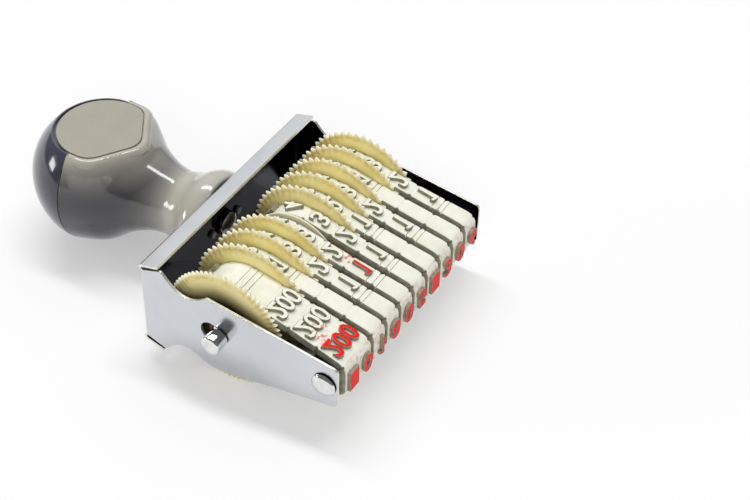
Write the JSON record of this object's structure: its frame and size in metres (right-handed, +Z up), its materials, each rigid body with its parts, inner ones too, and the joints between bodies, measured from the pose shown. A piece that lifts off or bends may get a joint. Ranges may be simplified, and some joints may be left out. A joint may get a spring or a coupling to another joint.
{
  "type": "band date stamp",
  "caption": "Band date stamp: toothed thumb wheels on one axle turn endless rubber type bands over a platen bar, in a bent steel frame with a waisted knob handle.",
  "frame": {"origin": "on the surface that the stamp lies on, under the middle of its bounding box", "axes": "+X along the wheels' axle towards the wide band's side plate, +Y from the handle's knob towards the printing faces, +Z up from the surface that the stamp lies on"},
  "size_m": [0.0674, 0.0987, 0.0295],
  "materials": {
    "chrome": "bright plated sheet",
    "steel": "turned steel",
    "ivory": "moulded",
    "rubber": "moulded rubber",
    "taupe": "glossy moulding",
    "slate": "glossy moulding",
    "label": "satin insert"
  },
  "bodies": {
    "stamp": {"frame": "chrome", "axle": "steel", "platen_bar": "steel", "guide_disc": "ivory", "band_1": "rubber", "band_2": "rubber", "band_3": "rubber", "band_4": "rubber", "band_5": "rubber", "band_6": "rubber", "band_7": "rubber", "band_8": "rubber", "band_9": "rubber", "handle_body": "taupe", "handle_cap": "slate", "label_insert": "label", "handle_screw": "steel"},
    "wheel_1": {"thumb_wheel_1": "ivory"},
    "wheel_2": {"thumb_wheel_2": "ivory"},
    "wheel_3": {"thumb_wheel_3": "ivory"},
    "wheel_4": {"thumb_wheel_4": "ivory"},
    "wheel_5": {"thumb_wheel_5": "ivory"},
    "wheel_6": {"thumb_wheel_6": "ivory"},
    "wheel_7": {"thumb_wheel_7": "ivory"},
    "wheel_8": {"thumb_wheel_8": "ivory"},
    "wheel_9": {"thumb_wheel_9": "ivory"}
  },
  "joints": [
    {"name": "wheel_1_turn", "type": "hinge", "parent": "stamp", "child": "wheel_1", "pos_m": [0, 0.02014, 0.0145], "axis": [1, 0, 0], "continuous": true},
    {"name": "wheel_2_turn", "type": "hinge", "parent": "stamp", "child": "wheel_2", "pos_m": [0, 0.02014, 0.0145], "axis": [1, 0, 0], "continuous": true},
    {"name": "wheel_3_turn", "type": "hinge", "parent": "stamp", "child": "wheel_3", "pos_m": [0, 0.02014, 0.0145], "axis": [1, 0, 0], "continuous": true},
    {"name": "wheel_4_turn", "type": "hinge", "parent": "stamp", "child": "wheel_4", "pos_m": [0, 0.02014, 0.0145], "axis": [1, 0, 0], "continuous": true},
    {"name": "wheel_5_turn", "type": "hinge", "parent": "stamp", "child": "wheel_5", "pos_m": [0, 0.02014, 0.0145], "axis": [1, 0, 0], "continuous": true},
    {"name": "wheel_6_turn", "type": "hinge", "parent": "stamp", "child": "wheel_6", "pos_m": [0, 0.02014, 0.0145], "axis": [1, 0, 0], "continuous": true},
    {"name": "wheel_7_turn", "type": "hinge", "parent": "stamp", "child": "wheel_7", "pos_m": [0, 0.02014, 0.0145], "axis": [1, 0, 0], "continuous": true},
    {"name": "wheel_8_turn", "type": "hinge", "parent": "stamp", "child": "wheel_8", "pos_m": [0, 0.02014, 0.0145], "axis": [1, 0, 0], "continuous": true},
    {"name": "wheel_9_turn", "type": "hinge", "parent": "stamp", "child": "wheel_9", "pos_m": [0, 0.02014, 0.0145], "axis": [1, 0, 0], "continuous": true}
  ]
}
